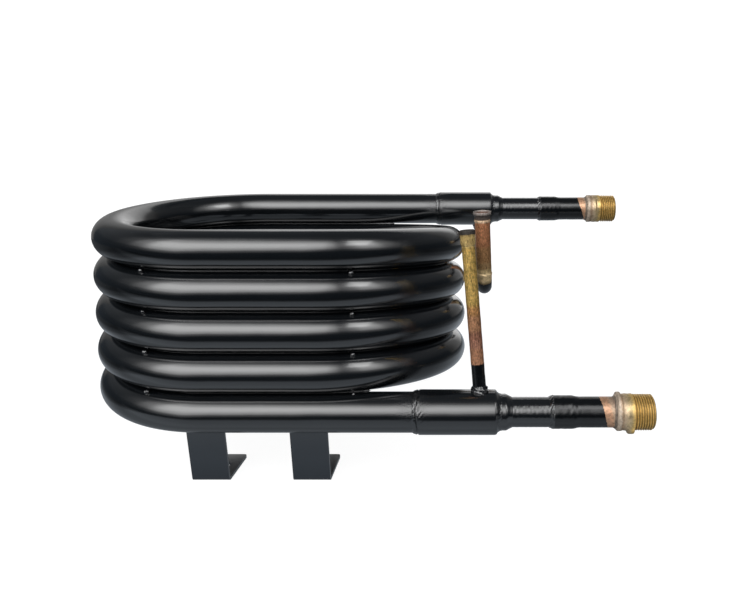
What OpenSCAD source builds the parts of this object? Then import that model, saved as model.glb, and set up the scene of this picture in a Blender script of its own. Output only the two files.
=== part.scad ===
// Tube-in-tube coil heat exchanger on four sheet feet.
// A copper water tube runs inside a steel tube that is wound into a racetrack coil
// of four and a half turns. Both ends leave to the right, the lower one in front and
// the upper one behind. Each has a steel header with a refrigerant stub, a reducer,
// a belled copper tail and a brass nipple with a male pipe thread.
// Millimetres. Z is up. The origin is on the floor, under the middle of the whole part.

/* [Coil] */
// Outside diameter of the steel coil tube
coil_tube_d = 38; // [34:0.5:40]
// Wall of the steel coil tube
coil_tube_wall = 2; // [1.5:0.1:2.5]
// Air left between one turn and the next
turn_gap = 0.6; // [0.5:0.1:3]
// Distance from the middle of the coil to its front and back runs
row_y = 125; // [115:1:150]
// Length of each straight run between the bends
straight_len = 104; // [80:1:160]
// Whole turns, to which the last half turn is added
full_turns = 4; // [3:1:6]

/* [Water tube] */
// Outside diameter of the copper water tube
water_tube_d = 28; // [22:0.5:28.5]
// Wall of the copper water tube
water_tube_wall = 1.2; // [0.8:0.1:1.5]
// Distance from a header's outer end back to the joint in the water tube
water_joint_depth = 34; // [28:1:40]

/* [Headers] */
// Wall of each header sleeve
header_wall = 2.1; // [1.6:0.1:3]
// Radial clearance of a header over the coil tube
header_fit = 0.1; // [0.05:0.05:0.3]
// Length of coil tube that enters each header
header_overlap = 12; // [8:1:15]
// Distance from the middle of the coil to the lower header
lower_leg_len = 153; // [150:1:200]
// Length of the lower header
lower_header_len = 73; // [60:1:110]
// Distance from the middle of the coil to the upper header
upper_leg_len = 165.5; // [150:0.5:200]
// Length of the upper header
upper_header_len = 64; // [60:1:110]
// Length of the weld seam at a header's inner end
seam_weld_len = 5.5; // [3:0.5:7]

/* [Reducers] */
// Depth of a reducer's plug inside the header
reducer_plug_len = 2; // [1.5:0.1:3]
// Outside diameter of a reducer's neck
reducer_neck_d = 34; // [32:0.1:36]
// Length of a reducer's straight neck
reducer_neck_len = 9.5; // [9:0.5:16]
// Length of the cone from the neck down to the water tube
reducer_cone_len = 5.5; // [2:0.5:8]
// Length of the fillet weld between a header and its reducer
end_weld_len = 5.5; // [3:0.5:7]

/* [Water ends] */
// Distance from the lower header to the mouth of the lower tail
lower_tail_gap = 53.4; // [40:0.1:80]
// Distance from the upper header to the mouth of the upper tail
upper_tail_gap = 63.2; // [40:0.1:80]
// Length of a copper tail, from its mouth to its nipple
tail_len = 60; // [50:1:90]
// Outside diameter of a tail beyond its bell
tail_d = 28.6; // [26:0.1:30]
// Wall of a tail
tail_wall = 1.4; // [1:0.1:1.6]
// Length of the bell that takes the water tube
bell_len = 19; // [15:1:25]
// Length of the shoulder behind the bell
bell_shoulder_len = 5; // [3:0.5:8]
// Radial clearance of every brazed pipe joint
braze_fit = 0.1; // [0.05:0.05:0.2]

/* [Nipples] */
// Length of a nipple
nipple_len = 35; // [32:0.5:45]
// Major diameter of the male pipe thread
thread_d = 33.25; // [32:0.05:36]
// Pitch of the male pipe thread
thread_pitch = 2.309; // [1.8:0.001:2.6]
// Depth of the male pipe thread
thread_depth = 1.48; // [1:0.01:1.6]
// Number of thread crests
thread_turns = 8; // [5:1:8]
// Diameter of a nipple's plain body
nipple_body_d = 34.6; // [33.5:0.1:37]
// Diameter of the collar at a nipple's mouth
nipple_collar_d = 35.2; // [34:0.1:38]
// Length of the collar at a nipple's mouth
nipple_collar_len = 4.4; // [3:0.1:6]
// Diameter of the water bore
nipple_bore_d = 25; // [20:0.1:26]
// Depth to which a tail enters its nipple
nipple_socket_len = 11; // [8:0.5:14]
// Length of a nipple's wrench lobe
lobe_len = 7; // [5:0.5:8]
// Distance from a nipple's mouth to its wrench lobe
lobe_place = 9.5; // [6:0.5:9.5]
// Throw of a nipple's wrench lobe
lobe_throw = 3; // [1:0.1:3.4]

/* [Refrigerant stubs] */
// Outside diameter of the lower stub
lower_stub_d = 12.7; // [9:0.1:13]
// Wall of the lower stub
lower_stub_wall = 0.9; // [0.6:0.05:1.2]
// Height of the lower stub above the axis of its header
lower_stub_rise = 173.5; // [120:0.5:176]
// Lean of the lower stub towards the coil
lower_stub_lean = 4.5; // [0:0.1:6]
// Distance from the lower stub to the outer end of its header
lower_stub_inset = 13.8; // [13:0.1:22]
// Length of the bell at the top of the lower stub
lower_bell_len = 13; // [8:0.5:20]
// Outside diameter of the upper stub
upper_stub_d = 19.05; // [15:0.05:19.1]
// Wall of the upper stub
upper_stub_wall = 1.1; // [0.8:0.05:1.5]
// Radius of the upper stub's elbow
elbow_r = 20; // [18:0.5:24]
// Depth of the elbow's bend below the axis of the upper header
elbow_drop = 77; // [60:0.5:85]
// Length of the upper stub's leg from the elbow to its mouth
upper_leg_rise = 79.5; // [50:0.5:80]
// Lean of the upper stub's leg away from the header
upper_leg_lean = 6; // [0:0.1:8]
// Turn of the whole upper stub about its port
upper_stub_lean = 2.2; // [0:0.1:3]
// Distance from the upper stub to the outer end of its header
upper_stub_inset = 12; // [11.8:0.1:20]
// Diameter of the flare at the upper stub's mouth
flare_d = 22.5; // [20.5:0.1:24]
// Length of the flare at the upper stub's mouth
flare_len = 5; // [3:0.5:8]
// Reach of the fillet weld round a stub's foot
port_weld_w = 3; // [2:0.1:3]
// Height of the fillet weld round a stub's foot
port_weld_h = 6; // [3:0.5:8]

/* [Feet] */
// Height of the lower run's axis above the floor
foot_height = 80.7; // [50:0.1:120]
// Width of each foot
foot_w = 37; // [30:0.5:45]
// Thickness of the foot sheet
foot_t = 3; // [2:0.1:4]
// Lean of a foot's plate in towards its flange
foot_lean = 10; // [0:0.5:12]
// Distance from a run's axis in to the outer face of the foot plate, level with the axis
foot_set_in = 9.6; // [8:0.1:14]
// Distance from a run's axis in to the end of the foot's flange
foot_reach = 79; // [74:0.5:95]
// Place of the left feet along the coil
left_foot_x = -56.2; // [-58:0.1:-30]
// Place of the right feet along the coil
right_foot_x = 44.3; // [30:0.1:52]
// Width of the fixing slot in a flange
slot_w = 10; // [6:0.1:11]
// Length of the fixing slot in a flange
slot_len = 18; // [14:0.5:26]
// Distance from a run's axis in to the slot
slot_place = 55; // [48:0.5:60]
// Inner radius of the fold in a foot
fold_r = 1.5; // [1:0.1:3]
// Radius of a flange's free corners
foot_corner_r = 3; // [1:0.5:5]
// Radius of a foot's weld beads
foot_weld_r = 3; // [2:0.1:3.5]

/* [Tack welds] */
// Radius of the tack beads between the turns
tack_r = 2.8; // [2:0.1:3.5]
// Length of a tack bead along its groove
tack_len = 6; // [3:0.5:10]
// Angle round the bends at which the left tacks lie
left_tack_angle = 23.3; // [5:0.1:30]
// Angle round the bends at which the right tacks lie
right_tack_angle = 17.3; // [5:0.1:25]
// Depth to which a tack bead bites towards the turns
tack_bite = 0.8; // [0.3:0.1:1.2]
// Distance by which a tack bead sits below the middle of its groove
tack_sag = 1.2; // [0:0.1:1.5]

/* [Hidden] */
$fn = 96;

// Each turn rises by one pitch, half of it in the left bend and half in the right one.
// A bend is a half ring that leans about X, so neighbours lie turn_pack apart across it.
turn_pack = coil_tube_d + turn_gap;
pitch = turn_pack / sqrt(1 - pow(turn_pack / (4 * row_y), 2));
bend_tilt = atan(pitch / (4 * row_y));
bend_r = row_y / cos(bend_tilt);
coil_r = coil_tube_d / 2;
half_run = straight_len / 2;
run_draw = 0.02;
run_set_in = 1;
bend_fn = 180;
top_z = (full_turns + 0.5) * pitch;

header_bore_r = coil_r + header_fit;
header_r = header_bore_r + header_wall;
water_r = water_tube_d / 2;
neck_r = reducer_neck_d / 2;
tail_r = tail_d / 2;
bell_bore_r = water_r + braze_fit;
bell_r = bell_bore_r + tail_wall;

// One row for each end: side of the coil, height, header's start and end, tail's mouth
LOWER = [-row_y, 0, lower_leg_len, lower_leg_len + lower_header_len,
    lower_leg_len + lower_header_len + lower_tail_gap];
UPPER = [row_y, top_z, upper_leg_len, upper_leg_len + upper_header_len,
    upper_leg_len + upper_header_len + upper_tail_gap];
function end_y(e) = e[0];
function end_z(e) = e[1];
function header_start(e) = e[2];
function header_end(e) = e[3];
function tail_start(e) = e[4];
function nipple_start(e) = tail_start(e) + tail_len;

left_reach = half_run + bend_r + coil_r;
right_reach = max(nipple_start(LOWER), nipple_start(UPPER)) + nipple_len;
middle_x = (right_reach - left_reach) / 2;

lower_port_x = header_end(LOWER) - lower_stub_inset;
upper_port_x = header_end(UPPER) - upper_stub_inset;
port_depth = header_wall + 1;
lower_stub_r = lower_stub_d / 2;
upper_stub_r = upper_stub_d / 2;
lower_stub_len = lower_stub_rise / cos(lower_stub_lean);
stub_bell_bore_r = lower_stub_r + braze_fit;
stub_bell_r = stub_bell_bore_r + lower_stub_wall;
elbow_sweep = 180 - upper_leg_lean;
end_bead_len = 3;
cut = 1;

// The coil's centre line, as points round each bend
bend_step = 7.5;
function left_point(k, a) = [-half_run - bend_r * sin(a), -row_y * cos(a), k * pitch + pitch / 4 * (1 - cos(a))];
function right_point(k, a) = [half_run + bend_r * sin(a), row_y * cos(a), (k + 0.75) * pitch - pitch / 4 * cos(a)];
coil_points = [
    [header_start(LOWER), -row_y, 0],
    for (k = [0 : full_turns - 1]) each [
        for (a = [0 : bend_step : 180]) left_point(k, a),
        for (a = [0 : bend_step : 180]) right_point(k, a)],
    for (a = [0 : bend_step : 180]) left_point(full_turns, a),
    [header_start(UPPER), row_y, top_z]];
function point_to_line(p, a, b) =
    let (run = b - a, t = max(0, min(1, (p - a) * run / (run * run)))) norm(p - a - t * run);
// Points nearer than half a turn along the tube are its own neighbours and are left out
own_points = 180 / bend_step + 4;
last_point = len(coil_points) - 1;
least_gap = min([for (i = [0 : last_point - own_points - 1]) for (j = [i + own_points : last_point - 1])
    point_to_line(coil_points[i], coil_points[j], coil_points[j + 1])]) - coil_tube_d;
echo(least_gap_of_coil_to_itself_mm = least_gap);

// The whole part stands on the floor, centred on the origin
module placed() translate([-middle_x, 0, foot_height]) children();
// Puts a shape that is turned about Z onto an end's axis, x along from the coil's middle
module on_end(e, x) translate([x, end_y(e), end_z(e)]) rotate([0, 90, 0]) children();
module tube(r, wall, len) difference() {
    cylinder(r = r, h = len);
    translate([0, 0, -cut]) cylinder(r = r - wall, h = len + 2 * cut);
}

// A straight piece of the coil tube from x0 to x1; wall 0 gives it solid
module coil_run(x0, x1, y, z, r, wall) translate([x0, y, z]) rotate([0, 90, 0])
    if (wall > 0) tube(r, wall, x1 - x0);
    else cylinder(r = r, h = x1 - x0);
// Half a turn: side -1 climbs on the left from front to back, side 1 on the right back again
module coil_bend(side, z, r, wall) translate([side * half_run, 0, z + pitch / 4])
    rotate([-side * bend_tilt, 0, 0]) rotate([0, 0, -side * 90])
    rotate_extrude(angle = 180, $fn = bend_fn) translate([bend_r, 0]) difference() {
        circle(r = r);
        if (wall > 0) circle(r = r - wall);
    }
// The whole winding, with straight legs out to lower_x and upper_x. Each straight run is
// finer than the bends by the draw, and its ends are set into theirs.
module winding(r, wall, lower_x, upper_x) {
    run_r = r - run_draw;
    run_wall = wall - 2 * run_draw;
    run_end = half_run + run_set_in;
    for (k = [0 : full_turns]) {
        coil_run(-run_end, k == 0 ? lower_x : run_end, -row_y, k * pitch, run_r, run_wall);
        coil_bend(-1, k * pitch, r, wall);
        coil_run(-run_end, k == full_turns ? upper_x : run_end, row_y, (k + 0.5) * pitch, run_r, run_wall);
    }
    for (k = [0 : full_turns - 1]) coil_bend(1, (k + 0.5) * pitch, r, wall);
}
module outer_tube() color([0.06, 0.06, 0.065]) placed()
    winding(coil_r, coil_tube_wall, header_start(LOWER) + header_overlap, header_start(UPPER) + header_overlap);
module inner_tube() color([0.78, 0.45, 0.28]) placed()
    winding(water_r, water_tube_wall, header_end(LOWER) - water_joint_depth, header_end(UPPER) - water_joint_depth);

// Stub ports: the local Z axis runs along the stub, out of its header
module at_lower_port() translate([lower_port_x, -row_y, 0]) rotate([0, -lower_stub_lean, 0]) children();
module at_upper_port() translate([upper_port_x, row_y, top_z]) rotate([0, -upper_stub_lean, 0]) children();

module header(e) on_end(e, header_start(e)) tube(header_r, header_wall, header_end(e) - header_start(e));
module lower_header() color([0.07, 0.07, 0.075]) placed() difference() {
    header(LOWER);
    at_lower_port() cylinder(r = lower_stub_r, h = header_r + cut);
}
module upper_header() color([0.07, 0.07, 0.075]) placed() difference() {
    header(UPPER);
    at_upper_port() mirror([0, 0, 1]) cylinder(r = upper_stub_r, h = header_r + cut);
}
module seam_weld(e) color([0.09, 0.09, 0.09]) placed() on_end(e, header_start(e) - seam_weld_len)
    rotate_extrude() polygon([[coil_r, 0], [header_r - header_wall * 0.2, seam_weld_len], [coil_r, seam_weld_len]]);
module lower_seam_weld() seam_weld(LOWER);
module upper_seam_weld() seam_weld(UPPER);

module reducer(e) color([0.08, 0.08, 0.085]) placed() on_end(e, header_end(e))
    rotate_extrude() polygon([[water_r, -reducer_plug_len], [header_bore_r, -reducer_plug_len], [header_bore_r, 0],
        [neck_r, 0], [neck_r, reducer_neck_len], [water_r + water_tube_wall, reducer_neck_len + reducer_cone_len],
        [water_r, reducer_neck_len + reducer_cone_len]]);
module lower_reducer() reducer(LOWER);
module upper_reducer() reducer(UPPER);
// A hollow quarter fillet from the header's end face down to the reducer's neck
module end_weld(e) color([0.09, 0.09, 0.09]) placed() on_end(e, header_end(e))
    rotate_extrude() polygon([[neck_r, 0],
        for (a = [0 : 15 : 90]) [neck_r + (header_r - neck_r) * (1 - sin(a)), end_weld_len * (1 - cos(a))]]);
module lower_end_weld() end_weld(LOWER);
module upper_end_weld() end_weld(UPPER);

module water_pipe(e) color([0.10, 0.10, 0.10]) placed() on_end(e, header_end(e) - water_joint_depth)
    tube(water_r, water_tube_wall, water_joint_depth + tail_start(e) - header_end(e) + bell_len);
module lower_water_pipe() water_pipe(LOWER);
module upper_water_pipe() water_pipe(UPPER);

shoulder_end = bell_len + bell_shoulder_len;
module tail(e) color([0.72, 0.42, 0.30]) placed() on_end(e, tail_start(e))
    rotate_extrude() polygon([[bell_bore_r, 0], [bell_r, 0], [bell_r, bell_len], [tail_r, shoulder_end],
        [tail_r, tail_len + nipple_socket_len], [tail_r - tail_wall, tail_len + nipple_socket_len],
        [tail_r - tail_wall, shoulder_end], [bell_bore_r, bell_len]]);
module lower_tail() tail(LOWER);
module upper_tail() tail(UPPER);
module bell_braze(e) color([0.12, 0.12, 0.12]) placed() on_end(e, tail_start(e) - end_bead_len)
    rotate_extrude() polygon([[water_r, 0], [bell_r - tail_wall * 0.3, end_bead_len], [water_r, end_bead_len]]);
module lower_bell_braze() bell_braze(LOWER);
module upper_bell_braze() bell_braze(UPPER);

// A nipple of revolution with parallel thread grooves; its collar and lobe sit off centre
thread_r = thread_d / 2;
thread_root_r = thread_r - thread_depth;
crest_w = thread_pitch / 4;
flank_w = (thread_pitch - 2 * crest_w) / 2;
thread_start = nipple_len - thread_turns * thread_pitch;
thread_outline = [for (i = [0 : thread_turns - 1]) let (x = thread_start + i * thread_pitch) each [
    [thread_root_r, x + crest_w * 0.5], [thread_r, x + crest_w * 0.5 + flank_w],
    [thread_r, x + crest_w * 1.5 + flank_w], [thread_root_r, x + crest_w * 1.5 + 2 * flank_w]]];
module nipple(e, collar_turn, lobe_turn) color([0.78, 0.58, 0.30]) placed() on_end(e, nipple_start(e)) difference() {
    union() {
        rotate_extrude() polygon([[0, 0], [nipple_body_d / 2, 0], [nipple_body_d / 2, thread_start - crest_w],
            [thread_root_r, thread_start], each thread_outline, [thread_root_r - crest_w, nipple_len], [0, nipple_len]]);
        rotate([0, 0, collar_turn]) translate([lobe_throw / 2, 0, 0])
            cylinder(d = nipple_collar_d, h = nipple_collar_len);
        rotate([0, 0, lobe_turn]) translate([lobe_throw, 0, lobe_place])
            cylinder(d = nipple_body_d, h = lobe_len);
    }
    translate([0, 0, -cut]) cylinder(r = tail_r, h = nipple_socket_len + cut);
    cylinder(d = nipple_bore_d, h = nipple_len + cut);
}
module lower_nipple() nipple(LOWER, 180, -25);
module upper_nipple() nipple(UPPER, 90, -70);
module nipple_braze(e) color([0.62, 0.55, 0.45]) placed() on_end(e, nipple_start(e) - end_bead_len)
    rotate_extrude() polygon([[tail_r, 0], [nipple_body_d / 2 - crest_w, end_bead_len], [tail_r, end_bead_len]]);
module lower_nipple_braze() nipple_braze(LOWER);
module upper_nipple_braze() nipple_braze(UPPER);

// The lower stub stands on its header, with a bell at the top for the next pipe
module lower_stub() color([0.70, 0.50, 0.22]) placed() at_lower_port() rotate_extrude() polygon([
    [lower_stub_r - lower_stub_wall, header_r - port_depth], [lower_stub_r, header_r - port_depth],
    [lower_stub_r, lower_stub_len - lower_bell_len - lower_stub_wall],
    [stub_bell_r, lower_stub_len - lower_bell_len], [stub_bell_r, lower_stub_len],
    [stub_bell_bore_r, lower_stub_len], [stub_bell_bore_r, lower_stub_len - lower_bell_len],
    [lower_stub_r - lower_stub_wall, lower_stub_len - lower_bell_len - lower_stub_wall]]);
// A hollow fillet round a stub's foot, cut by the round of the header
module port_weld(stub_r) difference() {
    rotate_extrude() polygon([[stub_r, header_r - port_weld_w], [stub_r + port_weld_w, header_r - port_weld_w],
        for (a = [0 : 15 : 90])
            [stub_r + port_weld_w * (1 - sin(a)), header_r + port_weld_h * (1 - cos(a))]]);
    rotate([0, 90, 0]) cylinder(r = header_r, h = 4 * header_r, center = true);
}
module lower_port_weld() color([0.10, 0.10, 0.10]) placed() difference() {
    at_lower_port() port_weld(lower_stub_r);
    on_end(LOWER, header_start(LOWER)) cylinder(r = header_r, h = lower_header_len);
}
module upper_port_weld() color([0.10, 0.10, 0.10]) placed() difference() {
    at_upper_port() mirror([0, 0, 1]) port_weld(upper_stub_r);
    on_end(UPPER, header_start(UPPER)) cylinder(r = header_r, h = upper_header_len);
}
// The elbow drops out of the upper header and turns up in front of it
module upper_elbow() color([0.08, 0.08, 0.08]) placed() at_upper_port() {
    translate([0, 0, -elbow_drop]) tube(upper_stub_r, upper_stub_wall, elbow_drop - header_r + port_depth);
    translate([0, -elbow_r, -elbow_drop]) rotate([0, 90, 0]) rotate([0, 0, 90 - elbow_sweep]) elbow_ring();
}
module elbow_ring() rotate_extrude(angle = elbow_sweep) translate([elbow_r, 0]) difference() {
    circle(r = upper_stub_r);
    circle(r = upper_stub_r - upper_stub_wall);
}
// The leg's local Z axis runs up from the elbow to the mouth
module on_leg() at_upper_port() translate([0, -elbow_r, -elbow_drop]) rotate([upper_leg_lean, 0, 0])
    translate([0, -elbow_r, 0]) children();
module upper_stub() color([0.72, 0.40, 0.25]) placed() on_leg() rotate_extrude() polygon([
    [upper_stub_r - upper_stub_wall, 0], [upper_stub_r, 0], [upper_stub_r, upper_leg_rise - flare_len],
    [flare_d / 2, upper_leg_rise - upper_stub_wall], [flare_d / 2, upper_leg_rise],
    [flare_d / 2 - upper_stub_wall, upper_leg_rise],
    [upper_stub_r - upper_stub_wall, upper_leg_rise - flare_len]]);
module upper_joint_braze() color([0.60, 0.52, 0.28]) placed() on_leg()
    rotate_extrude() polygon([[upper_stub_r, 0], [upper_stub_r + 0.8, 0], [upper_stub_r, end_bead_len]]);

// A folded sheet foot: side -1 is in front, 1 behind; z is the axis of the run it carries
module foot(side, x, z) color([0.25, 0.26, 0.28]) placed() difference() {
    translate([x - foot_w / 2, side * (row_y - foot_set_in), -foot_height]) mirror([0, side > 0 ? 1 : 0, 0])
        foot_sheet(foot_height + z);
    coil_run(-half_run, header_start(LOWER), side * row_y, z, coil_r, 0);
    coil_bend(-1, 0, coil_r, 0);
    if (side > 0) coil_bend(1, 0.5 * pitch, coil_r, 0);
}
module foot_sheet(height) difference() {
    intersection() {
        rotate([90, 0, 90]) linear_extrude(foot_w) foot_profile(height);
        union() {
            cube([foot_w, flange_end - foot_corner_r, height]);
            translate([foot_corner_r, 0, 0]) cube([foot_w - 2 * foot_corner_r, flange_end, height]);
            for (x = [foot_corner_r, foot_w - foot_corner_r])
                translate([x, flange_end - foot_corner_r, 0]) cylinder(r = foot_corner_r, h = height);
        }
    }
    translate([foot_w / 2, slot_place - foot_set_in, -cut]) {
        translate([-(slot_len - slot_w) / 2, -slot_w / 2, 0]) cube([slot_len - slot_w, slot_w, foot_t + 2 * cut]);
        for (s = [-1, 1]) translate([s * (slot_len - slot_w) / 2, 0, 0]) cylinder(d = slot_w, h = foot_t + 2 * cut);
    }
}
// The folded outline of a foot, y across and z up. The plate leans in from its top at y = 0.
fold_out_r = fold_r + foot_t;
flange_end = foot_reach - foot_set_in;
fold_sector = 2 * fold_out_r;
function fold_y(height) = (height - fold_out_r) * tan(foot_lean) + fold_out_r / cos(foot_lean);
module at_fold(height) translate([fold_y(height), fold_out_r]) children();
module plate_profile(height) at_fold(height) rotate(foot_lean) translate([-fold_out_r, 0])
    square([foot_t, (height - fold_out_r * (1 - sin(foot_lean))) / cos(foot_lean)]);
module foot_profile(height) {
    plate_profile(height);
    translate([fold_y(height), 0]) square([flange_end - fold_y(height), foot_t]);
    at_fold(height) intersection() {
        difference() {
            circle(r = fold_out_r);
            circle(r = fold_r);
        }
        polygon([[0, 0], -fold_sector * [cos(foot_lean), sin(foot_lean)], [-fold_sector, -fold_sector], [0, -fold_sector]]);
    }
}
module front_left_foot() foot(-1, left_foot_x, 0);
module front_right_foot() foot(-1, right_foot_x, 0);
module rear_left_foot() foot(1, left_foot_x, 0.5 * pitch);
module rear_right_foot() foot(1, right_foot_x, 0.5 * pitch);

// Beads along both faces of the foot plates, where they meet the round of the run.
// weld_drop is the depth below the axis at which a leaning face meets that round.
function weld_drop(inset) = cos(foot_lean)
    * (sqrt(coil_r * coil_r - pow(inset * cos(foot_lean), 2)) - inset * sin(foot_lean));
module foot_welds(side, z) color([0.10, 0.10, 0.10]) placed()
    for (x = [left_foot_x, right_foot_x]) for (inset = [foot_set_in, foot_set_in + foot_t / cos(foot_lean)])
        difference() {
            translate([x - foot_w / 2 + foot_weld_r,
                side * (row_y - inset - weld_drop(inset) * tan(foot_lean)), z - weld_drop(inset)])
                rotate([0, 90, 0]) cylinder(r = foot_weld_r, h = foot_w - 2 * foot_weld_r);
            translate([x - foot_w, side * (row_y - foot_set_in), -foot_height]) mirror([0, side > 0 ? 1 : 0, 0])
                rotate([90, 0, 90]) linear_extrude(2 * foot_w) plate_profile(foot_height + z);
            coil_run(-half_run, header_start(LOWER), side * row_y, z, coil_r, 0);
            coil_bend(-1, 0, coil_r, 0);
            if (side > 0) coil_bend(1, 0.5 * pitch, coil_r, 0);
        }
module front_foot_welds() foot_welds(-1, 0);
module rear_foot_welds() foot_welds(1, 0.5 * pitch);

// A tack bead in the groove between two turns, cut by both
tack_reach = sqrt(pow(coil_r + tack_r - tack_bite, 2) - pow(turn_pack / 2, 2));
module tack(p, a, side, side_y) translate(p + [0, 0, pitch / 2 - tack_sag]
    + tack_reach * [side * sin(a), side_y * cos(a), 0]) rotate([0, 0, atan2(-side * sin(a), side_y * cos(a))])
    rotate([0, 90, 0]) cylinder(r = tack_r, h = tack_len, center = true);
module front_tack_welds() color([0.5, 0.5, 0.5]) placed() for (k = [0 : full_turns - 1]) {
    difference() {
        tack(left_point(k, left_tack_angle), left_tack_angle, -1, -1);
        coil_bend(-1, k * pitch, coil_r, 0);
        coil_bend(-1, (k + 1) * pitch, coil_r, 0);
    }
    difference() {
        tack(right_point(k - 1, 180 - right_tack_angle), right_tack_angle, 1, -1);
        if (k > 0) coil_bend(1, (k - 0.5) * pitch, coil_r, 0);
        else coil_run(half_run, header_start(LOWER), -row_y, 0, coil_r, 0);
        coil_bend(1, (k + 0.5) * pitch, coil_r, 0);
    }
}
module rear_tack_welds() color([0.5, 0.5, 0.5]) placed() for (k = [0 : full_turns - 1]) {
    difference() {
        tack(left_point(k, 180 - left_tack_angle), left_tack_angle, -1, 1);
        coil_bend(-1, k * pitch, coil_r, 0);
        coil_bend(-1, (k + 1) * pitch, coil_r, 0);
    }
    difference() {
        tack(right_point(k, right_tack_angle), right_tack_angle, 1, 1);
        coil_bend(1, (k + 0.5) * pitch, coil_r, 0);
        if (k < full_turns - 1) coil_bend(1, (k + 1.5) * pitch, coil_r, 0);
        else coil_run(half_run, header_start(UPPER), row_y, top_z, coil_r, 0);
    }
}

outer_tube();
inner_tube();
lower_header();
upper_header();
lower_seam_weld();
upper_seam_weld();
lower_reducer();
upper_reducer();
lower_end_weld();
upper_end_weld();
lower_water_pipe();
upper_water_pipe();
lower_tail();
upper_tail();
lower_bell_braze();
upper_bell_braze();
lower_nipple();
upper_nipple();
lower_nipple_braze();
upper_nipple_braze();
lower_stub();
lower_port_weld();
upper_elbow();
upper_stub();
upper_joint_braze();
upper_port_weld();
front_left_foot();
front_right_foot();
rear_left_foot();
rear_right_foot();
front_foot_welds();
rear_foot_welds();
front_tack_welds();
rear_tack_welds();
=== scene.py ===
import bpy
import math
import mathutils
import numpy as np
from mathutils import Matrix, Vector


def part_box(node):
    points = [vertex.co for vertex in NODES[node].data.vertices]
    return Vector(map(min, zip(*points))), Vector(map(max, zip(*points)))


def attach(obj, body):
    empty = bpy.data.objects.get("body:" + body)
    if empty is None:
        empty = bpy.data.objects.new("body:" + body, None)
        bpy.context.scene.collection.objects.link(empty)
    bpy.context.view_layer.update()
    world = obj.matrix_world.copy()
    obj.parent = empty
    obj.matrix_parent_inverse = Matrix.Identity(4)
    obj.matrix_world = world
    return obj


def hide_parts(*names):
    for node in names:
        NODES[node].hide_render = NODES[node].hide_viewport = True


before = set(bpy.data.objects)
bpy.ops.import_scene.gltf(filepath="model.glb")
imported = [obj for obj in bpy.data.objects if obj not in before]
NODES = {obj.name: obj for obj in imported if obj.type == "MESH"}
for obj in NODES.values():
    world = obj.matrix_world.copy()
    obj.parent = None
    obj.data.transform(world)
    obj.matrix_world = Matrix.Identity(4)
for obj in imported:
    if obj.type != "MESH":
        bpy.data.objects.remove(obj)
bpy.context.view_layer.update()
MM = 0.001
TAU = 2 * math.pi


# ---------------------------------------------------------------- mesh helpers
def grid_object(name, grids, material, body="root", replaces=()):
    """One mesh from several grids of points. Each grid is (points[n, m, 3], wrap, uv[n, m, 2]); quad (i, j) joins
    rows i, i + 1 and columns j, j + 1, and a wrapped grid joins its last column to its first."""
    verts, quads, uvs = [], [], []
    base = 0
    for points, wrap, uv in grids:
        n, m = points.shape[:2]
        cols = m if wrap else m - 1
        i, j = np.meshgrid(np.arange(n - 1), np.arange(cols), indexing="ij")
        k = (j + 1) % m
        q = np.stack([i * m + j, i * m + k, (i + 1) * m + k, (i + 1) * m + j], -1).reshape(-1, 4)
        quads.append(q + base)
        u = np.stack([uv[i, j], uv[i, k], uv[i + 1, k], uv[i + 1, j]], -2).reshape(-1, 4, 2).copy()
        if wrap:
            last = (j == m - 1).reshape(-1)
            span = uv[0, 1, 1] - uv[0, 0, 1]
            u[last, 1, 1] = u[last, 0, 1] + span
            u[last, 2, 1] = u[last, 3, 1] + span
        uvs.append(u.reshape(-1, 2))
        verts.append(points.reshape(-1, 3))
        base += n * m
    verts, quads, uvs = np.concatenate(verts), np.concatenate(quads), np.concatenate(uvs)
    mesh = bpy.data.meshes.new(name)
    mesh.vertices.add(len(verts))
    mesh.vertices.foreach_set("co", verts.astype(np.float32).ravel())
    mesh.loops.add(quads.size)
    mesh.loops.foreach_set("vertex_index", quads.astype(np.int32).ravel())
    mesh.polygons.add(len(quads))
    mesh.polygons.foreach_set("loop_start", np.arange(0, quads.size, 4, dtype=np.int32))
    mesh.polygons.foreach_set("loop_total", np.full(len(quads), 4, dtype=np.int32))
    mesh.update(calc_edges=True)
    layer = mesh.uv_layers.new(name="UVMap")
    layer.data.foreach_set("uv", uvs.astype(np.float32).ravel())
    mesh.polygons.foreach_set("use_smooth", np.ones(len(quads), dtype=bool))
    mesh.materials.append(material)
    obj = bpy.data.objects.new(name, mesh)
    bpy.context.scene.collection.objects.link(obj)
    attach(obj, body)
    if replaces:
        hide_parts(*replaces)
    return obj


def sweep(path, radius, around=64, ripple=None):
    """A tube: point(i, j) = path[i] + radius[i] * (U cos a + V sin a), where a = 2 pi j / around, T is the path's
    direction, U = T x up and V = U x T. ripple adds to the radius at (i, j). UV is (length along, length round) in
    units of 100 mm."""
    path = np.asarray(path, float)
    tangent = np.gradient(path, axis=0)
    tangent /= np.linalg.norm(tangent, axis=1)[:, None]
    up = np.array([0.0, 0.0, 1.0]) if abs(tangent[:, 2]).max() < 0.9 else np.array([1.0, 0.0, 0.0])
    u = np.cross(tangent, up)
    u /= np.linalg.norm(u, axis=1)[:, None]
    v = np.cross(u, tangent)
    a = np.linspace(0, TAU, around, endpoint=False)
    r = np.broadcast_to(np.asarray(radius, float).reshape(-1, 1), (len(path), around))
    if ripple is not None:
        r = r + ripple
    points = path[:, None, :] + r[..., None] * (u[:, None, :] * np.cos(a)[None, :, None] + v[:, None,
        :] * np.sin(a)[None, :, None])
    s = np.concatenate([[0], np.cumsum(np.linalg.norm(np.diff(path, axis=0), axis=1))])
    uv = np.stack(np.meshgrid(s * 10, a * float(np.mean(radius)) * 10, indexing="ij"), -1)
    return points, True, uv


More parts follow.
